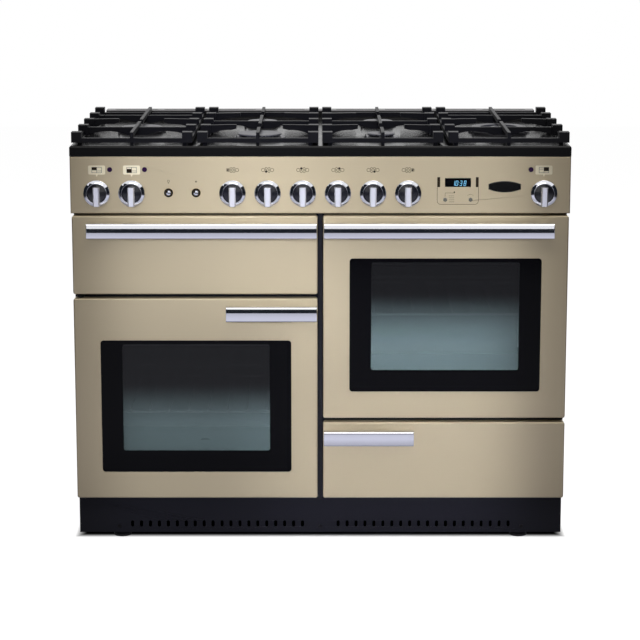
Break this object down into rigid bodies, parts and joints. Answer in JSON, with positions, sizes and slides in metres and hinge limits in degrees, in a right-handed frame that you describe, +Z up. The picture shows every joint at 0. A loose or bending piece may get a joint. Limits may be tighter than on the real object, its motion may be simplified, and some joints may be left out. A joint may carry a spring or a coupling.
{
  "type": "range cooker",
  "caption": "Freestanding dual-cavity range cooker with a gas hob over cast pan supports, a grill, two windowed ovens and a storage drawer.",
  "frame": {"origin": "on the floor, at the middle of the footprint", "axes": "+X to the user's right, +Y to the back, +Z up; the fronts face -Y"},
  "size_m": [1.092, 0.653, 0.933],
  "materials": {
    "cream_enamel": "glossy vitreous enamel, champagne cream",
    "dark_sheet": "semi-gloss powder coat",
    "galvanised": "zinc coated sheet",
    "frame_enamel": "black enamel",
    "plinth_enamel": "satin black paint",
    "hob_enamel": "gloss black enamel",
    "vent_steel": "brushed",
    "oven_enamel": "grey speckled enamel",
    "rack_wire": "chromed wire",
    "pan_enamel": "black enamel",
    "element": "oxidised steel tube",
    "seal": "silicone gasket",
    "control_metal": "machined",
    "burner_alloy": "cast, satin",
    "cap_enamel": "gloss enamel",
    "cast_iron": "satin black enamelled cast iron",
    "lens": "tinted lens",
    "foot": "moulded",
    "inner_steel": "grey enamel",
    "chrome": "polished",
    "door_glass": "toughened, black printed border",
    "drawer_steel": "satin grey paint",
    "roller": "nylon on steel axle",
    "fan_steel": "pressed sheet",
    "button": "polished",
    "selector": "moulded",
    "knob_chrome": "polished, dark recess",
    "spindle_brass": "machined"
  },
  "bodies": {
    "cooker": {"side_panels": "dark_sheet", "back_panel": "galvanised", "base_pan": "galvanised", "front_frame": "frame_enamel", "plinth": "plinth_enamel", "control_panel": "cream_enamel", "hob_tray": "hob_enamel", "rear_vent": "vent_steel", "oven_liner_left": "oven_enamel", "oven_liner_right": "oven_enamel", "grill_liner": "oven_enamel", "oven_racks": "rack_wire", "grill_pan": "pan_enamel", "heating_elements": "element", "door_seals": "seal", "fan_cover": "oven_enamel", "panel_controls": "control_metal", "burner_bases": "burner_alloy", "burner_caps": "cap_enamel", "pan_support_left": "cast_iron", "pan_support_centre_left": "cast_iron", "pan_support_centre_right": "cast_iron", "pan_support_right": "cast_iron", "panel_lenses": "lens", "levelling_feet": "foot"},
    "grill_door": {"grill_door_skin": "cream_enamel", "grill_door_inner": "inner_steel", "grill_handle": "chrome"},
    "oven_door_left": {"oven_door_left_skin": "cream_enamel", "oven_door_left_glass": "door_glass", "oven_door_left_inner": "inner_steel", "oven_handle_left": "chrome"},
    "oven_door_right": {"oven_door_right_skin": "cream_enamel", "oven_door_right_glass": "door_glass", "oven_door_right_inner": "inner_steel", "oven_handle_right": "chrome"},
    "drawer": {"drawer_front": "cream_enamel", "drawer_box": "drawer_steel", "drawer_handle": "chrome"},
    "rollers": {"rear_rollers": "roller"},
    "fan": {"oven_fan": "fan_steel"},
    "light_button": {"light_button": "button"},
    "spark_button": {"spark_button": "button"},
    "timer_mode_selector": {"timer_mode_selector": "selector"},
    "timer_set_selector": {"timer_set_selector": "selector"},
    "knob_oven_grill": {"knob_oven_grill": "knob_chrome"},
    "knob_oven_left": {"knob_oven_left": "knob_chrome"},
    "knob_oven_right": {"knob_oven_right": "knob_chrome"},
    "spindle_gas_1": {"spindle_gas_1": "spindle_brass"},
    "knob_gas_1": {"knob_gas_1": "knob_chrome"},
    "spindle_gas_2": {"spindle_gas_2": "spindle_brass"},
    "knob_gas_2": {"knob_gas_2": "knob_chrome"},
    "spindle_gas_3": {"spindle_gas_3": "spindle_brass"},
    "knob_gas_3": {"knob_gas_3": "knob_chrome"},
    "spindle_gas_4": {"spindle_gas_4": "spindle_brass"},
    "knob_gas_4": {"knob_gas_4": "knob_chrome"},
    "spindle_gas_5": {"spindle_gas_5": "spindle_brass"},
    "knob_gas_5": {"knob_gas_5": "knob_chrome"},
    "spindle_gas_6": {"spindle_gas_6": "spindle_brass"},
    "knob_gas_6": {"knob_gas_6": "knob_chrome"}
  },
  "joints": [
    {"name": "door_grill", "type": "hinge", "parent": "cooker", "child": "grill_door", "pos_m": [-0.275, -0.2665, 0.591], "axis": [1, 0, 0], "range_deg": [0, 90]},
    {"name": "door_oven_left", "type": "hinge", "parent": "cooker", "child": "oven_door_left", "pos_m": [-0.529, -0.2665, 0.33925], "axis": [0, 0, -1], "range_deg": [0, 100]},
    {"name": "door_oven_right", "type": "hinge", "parent": "cooker", "child": "oven_door_right", "pos_m": [0.275, -0.2665, 0.3105], "axis": [1, 0, 0], "range_deg": [0, 90]},
    {"name": "drawer_slide", "type": "slide", "parent": "cooker", "child": "drawer", "axis": [0, -1, 0], "range_m": [0, 0.33]},
    {"name": "knob_turn_oven_grill", "type": "hinge", "parent": "cooker", "child": "knob_oven_grill", "pos_m": [-0.487, -0.2815, 0.802], "axis": [0, -1, 0], "range_deg": [-130, 130]},
    {"name": "knob_turn_oven_left", "type": "hinge", "parent": "cooker", "child": "knob_oven_left", "pos_m": [-0.411, -0.2815, 0.802], "axis": [0, -1, 0], "range_deg": [-280, 0]},
    {"name": "knob_turn_oven_right", "type": "hinge", "parent": "cooker", "child": "knob_oven_right", "pos_m": [0.487, -0.2815, 0.802], "axis": [0, -1, 0], "range_deg": [-280, 0]},
    {"name": "knob_turn_gas_1", "type": "hinge", "parent": "cooker", "child": "spindle_gas_1", "pos_m": [-0.19125, -0.2815, 0.802], "axis": [0, -1, 0], "range_deg": [0, 210]},
    {"name": "knob_turn_gas_2", "type": "hinge", "parent": "cooker", "child": "spindle_gas_2", "pos_m": [-0.11475, -0.2815, 0.802], "axis": [0, -1, 0], "range_deg": [0, 210]},
    {"name": "knob_turn_gas_3", "type": "hinge", "parent": "cooker", "child": "spindle_gas_3", "pos_m": [-0.03825, -0.2815, 0.802], "axis": [0, -1, 0], "range_deg": [0, 210]},
    {"name": "knob_turn_gas_4", "type": "hinge", "parent": "cooker", "child": "spindle_gas_4", "pos_m": [0.03825, -0.2815, 0.802], "axis": [0, -1, 0], "range_deg": [0, 210]},
    {"name": "knob_turn_gas_5", "type": "hinge", "parent": "cooker", "child": "spindle_gas_5", "pos_m": [0.11475, -0.2815, 0.802], "axis": [0, -1, 0], "range_deg": [0, 210]},
    {"name": "knob_turn_gas_6", "type": "hinge", "parent": "cooker", "child": "spindle_gas_6", "pos_m": [0.19125, -0.2815, 0.802], "axis": [0, -1, 0], "range_deg": [0, 210]},
    {"name": "press_gas_1", "type": "slide", "parent": "spindle_gas_1", "child": "knob_gas_1", "axis": [0, 1, 0], "range_m": [0, 0.003], "stiffness_N_per_m": 1500, "springref_m": -0.002},
    {"name": "press_gas_2", "type": "slide", "parent": "spindle_gas_2", "child": "knob_gas_2", "axis": [0, 1, 0], "range_m": [0, 0.003], "stiffness_N_per_m": 1500, "springref_m": -0.002},
    {"name": "press_gas_3", "type": "slide", "parent": "spindle_gas_3", "child": "knob_gas_3", "axis": [0, 1, 0], "range_m": [0, 0.003], "stiffness_N_per_m": 1500, "springref_m": -0.002},
    {"name": "press_gas_4", "type": "slide", "parent": "spindle_gas_4", "child": "knob_gas_4", "axis": [0, 1, 0], "range_m": [0, 0.003], "stiffness_N_per_m": 1500, "springref_m": -0.002},
    {"name": "press_gas_5", "type": "slide", "parent": "spindle_gas_5", "child": "knob_gas_5", "axis": [0, 1, 0], "range_m": [0, 0.003], "stiffness_N_per_m": 1500, "springref_m": -0.002},
    {"name": "press_gas_6", "type": "slide", "parent": "spindle_gas_6", "child": "knob_gas_6", "axis": [0, 1, 0], "range_m": [0, 0.003], "stiffness_N_per_m": 1500, "springref_m": -0.002},
    {"name": "press_light", "type": "slide", "parent": "cooker", "child": "light_button", "axis": [0, 1, 0], "range_m": [0, 0.003], "stiffness_N_per_m": 800, "springref_m": -0.002},
    {"name": "press_spark", "type": "slide", "parent": "cooker", "child": "spark_button", "axis": [0, 1, 0], "range_m": [0, 0.003], "stiffness_N_per_m": 800, "springref_m": -0.002},
    {"name": "roll_rear", "type": "hinge", "parent": "cooker", "child": "rollers", "pos_m": [0, 0.2555, 0.025], "axis": [1, 0, 0], "continuous": true},
    {"name": "spin_fan", "type": "hinge", "parent": "cooker", "child": "fan", "pos_m": [-0.275, 0.1785, 0.325], "axis": [0, -1, 0], "continuous": true},
    {"name": "timer_mode", "type": "hinge", "parent": "cooker", "child": "timer_mode_selector", "pos_m": [0.2723, -0.2815, 0.787], "axis": [0, -1, 0], "range_deg": [-120, 0]},
    {"name": "timer_set", "type": "hinge", "parent": "cooker", "child": "timer_set_selector", "pos_m": [0.3277, -0.2815, 0.787], "axis": [0, -1, 0], "range_deg": [-30, 30], "stiffness_Nm_per_rad": 0.01}
  ]
}
